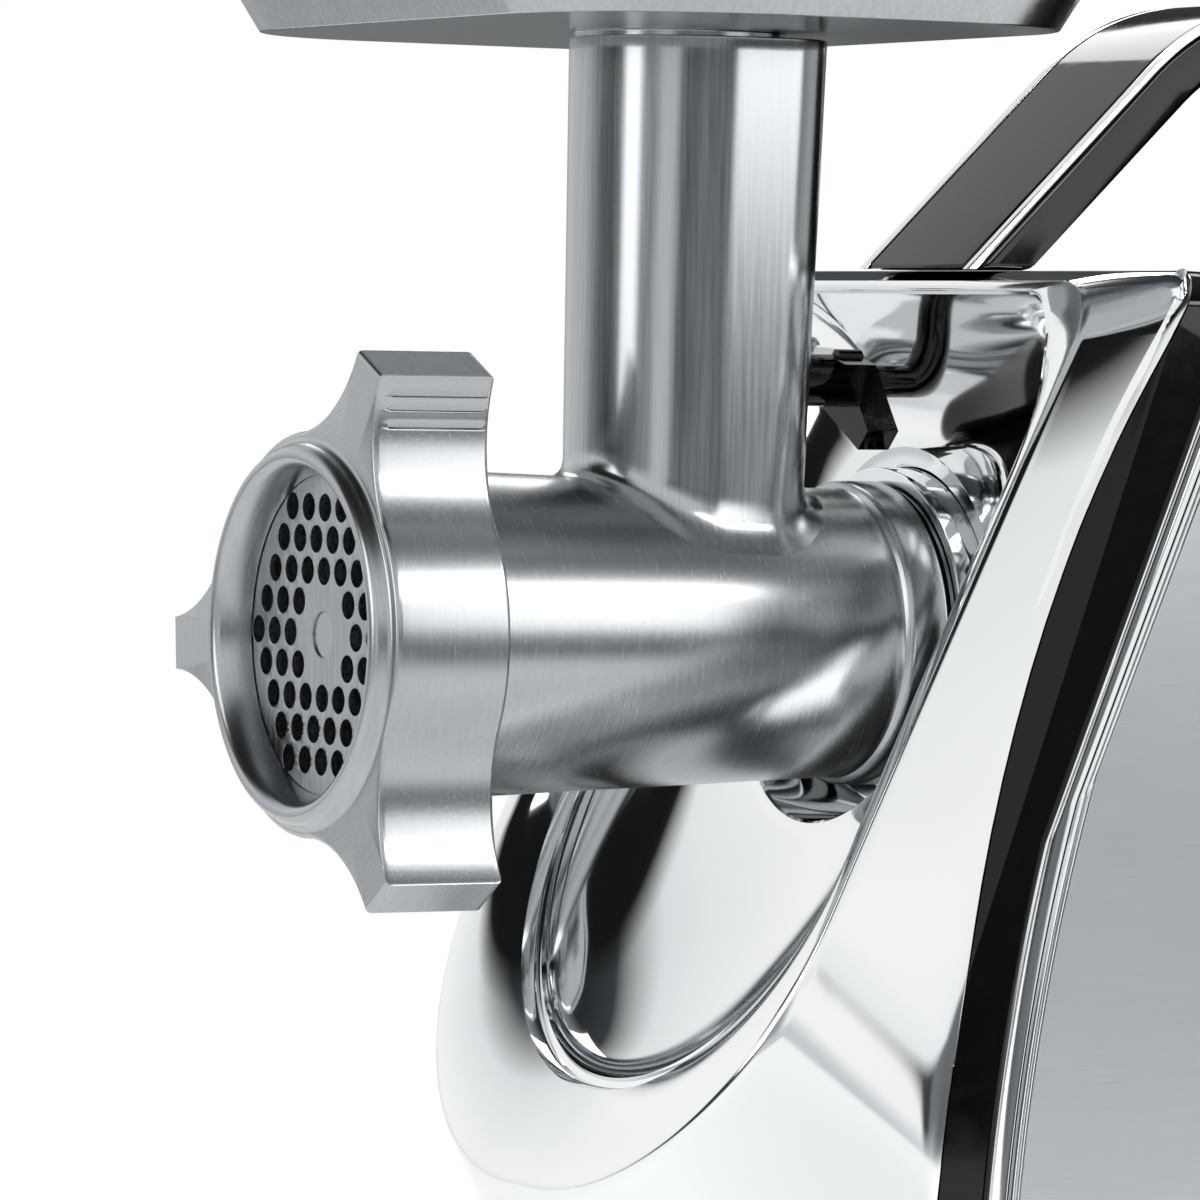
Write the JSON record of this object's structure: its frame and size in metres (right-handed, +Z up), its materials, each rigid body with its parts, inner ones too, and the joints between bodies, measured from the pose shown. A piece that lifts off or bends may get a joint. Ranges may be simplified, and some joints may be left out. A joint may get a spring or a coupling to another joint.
{
  "type": "electric meat grinder",
  "caption": "Electric meat grinder with a cast screw head, perforated plate, lobed ring nut, feed tube, loading tray, pusher and a chrome and black motor housing with a handle.",
  "frame": {"origin": "table plane, under the middle of the whole object", "axes": "+Z up, the outlet faces -Y, +X is the side with the buttons"},
  "size_m": [0.19, 0.358, 0.2966],
  "materials": {
    "auger_bush": "nylon, natural",
    "auger_screw": "cast, satin brushed",
    "base_plate": "black, moulded",
    "brush_holders": "black, moulded",
    "button_bezels": "mirror polished",
    "carbon_brushes": "carbon",
    "commutator": "enamelled copper",
    "compound_gear": "nylon, natural",
    "control_board": "circuit board",
    "cooling_fan": "black, moulded",
    "cord_gland": "black, moulded",
    "cross_knife": "satin polished",
    "drive_coupling": "machined",
    "field_coils": "enamelled copper",
    "food_pusher": "black, moulded",
    "foot_screws": "machined",
    "front_fascia": "mirror polished",
    "gearbox_case": "die cast",
    "gearbox_cover": "die cast",
    "handle_grip": "black, glossy",
    "handle_trim": "mirror polished",
    "head_casting": "cast, satin brushed",
    "head_socket": "die cast",
    "hole_plate": "satin polished",
    "idler_axle": "machined",
    "knob_collar": "black, moulded",
    "knob_spring": "machined",
    "left_side_panel": "satin polished",
    "left_trim_ring": "mirror polished",
    "loading_tray": "pressed, satin",
    "main_housing": "black, glossy",
    "motor_bearings": "sintered bronze",
    "motor_end_bracket": "die cast",
    "motor_pinion": "machined",
    "motor_stator": "laminated",
    "motor_studs": "machined",
    "output_bushings": "sintered bronze",
    "output_gear": "nylon, natural",
    "plate_key": "machined",
    "power_button": "black, glossy",
    "release_knob": "black, glossy",
    "reverse_button": "black, glossy",
    "right_side_panel": "satin polished",
    "right_trim_ring": "mirror polished",
    "ring_nut": "cast, satin brushed",
    "rotor_coils": "enamelled copper",
    "rotor_core": "laminated",
    "rotor_shaft": "machined",
    "rubber_feet": "moulded",
    "socket_ring": "mirror polished",
    "stud_nuts": "machined",
    "stud_sleeves": "machined"
  },
  "bodies": {
    "housing": {"base_plate": "base_plate", "brush_holders": "brush_holders", "button_bezels": "button_bezels", "carbon_brushes": "carbon_brushes", "control_board": "control_board", "cord_gland": "cord_gland", "field_coils": "field_coils", "foot_screws": "foot_screws", "front_fascia": "front_fascia", "gearbox_case": "gearbox_case", "gearbox_cover": "gearbox_cover", "handle_grip": "handle_grip", "handle_trim": "handle_trim", "head_socket": "head_socket", "idler_axle": "idler_axle", "knob_spring": "knob_spring", "left_side_panel": "left_side_panel", "left_trim_ring": "left_trim_ring", "main_housing": "main_housing", "motor_bearings": "motor_bearings", "motor_end_bracket": "motor_end_bracket", "motor_stator": "motor_stator", "motor_studs": "motor_studs", "output_bushings": "output_bushings", "right_side_panel": "right_side_panel", "right_trim_ring": "right_trim_ring", "rubber_feet": "rubber_feet", "socket_ring": "socket_ring", "stud_nuts": "stud_nuts", "stud_sleeves": "stud_sleeves"},
    "output": {"drive_coupling": "drive_coupling", "output_gear": "output_gear"},
    "idler": {"compound_gear": "compound_gear"},
    "rotor": {"rotor_shaft": "rotor_shaft", "motor_pinion": "motor_pinion", "rotor_core": "rotor_core", "rotor_coils": "rotor_coils", "commutator": "commutator", "cooling_fan": "cooling_fan"},
    "head": {"head_casting": "head_casting", "auger_bush": "auger_bush", "plate_key": "plate_key"},
    "auger": {"auger_screw": "auger_screw", "cross_knife": "cross_knife"},
    "plate": {"hole_plate": "hole_plate"},
    "ring": {"ring_nut": "ring_nut"},
    "tray": {"loading_tray": "loading_tray"},
    "pusher": {"food_pusher": "food_pusher"},
    "knob": {"release_knob": "release_knob", "knob_collar": "knob_collar"},
    "power": {"power_button": "power_button"},
    "reverse": {"reverse_button": "reverse_button"}
  },
  "joints": [
    {"name": "rotor_spin", "type": "hinge", "parent": "housing", "child": "rotor", "pos_m": [0.00253, 0.043, 0.05779], "axis": [0, 1, 0], "continuous": true},
    {"name": "idler_spin", "type": "hinge", "parent": "housing", "child": "idler", "pos_m": [-0.025, -0.004, 0.09711], "axis": [0, 1, 0], "continuous": true},
    {"name": "output_spin", "type": "hinge", "parent": "housing", "child": "output", "pos_m": [0, -0.009, 0.15], "axis": [0, 1, 0], "continuous": true},
    {"name": "auger_spin", "type": "hinge", "parent": "head", "child": "auger", "pos_m": [0, -0.119, 0.15], "axis": [0, 1, 0], "continuous": true},
    {"name": "head_pull", "type": "slide", "parent": "housing", "child": "head", "axis": [0, -1, 0], "range_m": [0, 0.05]},
    {"name": "plate_slide", "type": "slide", "parent": "head", "child": "plate", "axis": [0, -1, 0], "range_m": [0, 0.0161]},
    {"name": "ring_turn", "type": "hinge", "parent": "plate", "child": "ring", "pos_m": [0, -0.165, 0.15], "axis": [0, -1, 0], "range_deg": [0, 1440]},
    {"name": "tray_lift", "type": "slide", "parent": "head", "child": "tray", "axis": [0, 0, 1], "range_m": [0, 0.06]},
    {"name": "pusher_lift", "type": "slide", "parent": "tray", "child": "pusher", "axis": [0, 0, 1], "range_m": [0, 0.09]},
    {"name": "knob_push", "type": "slide", "parent": "housing", "child": "knob", "axis": [0, 1, 0], "range_m": [0, 0.0018], "stiffness_N_per_m": 600},
    {"name": "power_push", "type": "slide", "parent": "housing", "child": "power", "axis": [-1, 0, 0], "range_m": [0, 0.0025], "stiffness_N_per_m": 800},
    {"name": "reverse_push", "type": "slide", "parent": "housing", "child": "reverse", "axis": [-1, 0, 0], "range_m": [0, 0.0025], "stiffness_N_per_m": 800}
  ],
  "couplings": [
    {"joint": "idler_spin", "follows": "rotor_spin", "ratio": -0.14286},
    {"joint": "output_spin", "follows": "rotor_spin", "ratio": 0.025974},
    {"joint": "auger_spin", "follows": "rotor_spin", "ratio": 0.025974},
    {"joint": "plate_slide", "follows": "ring_turn", "m_per_rad": 0.00063662}
  ]
}
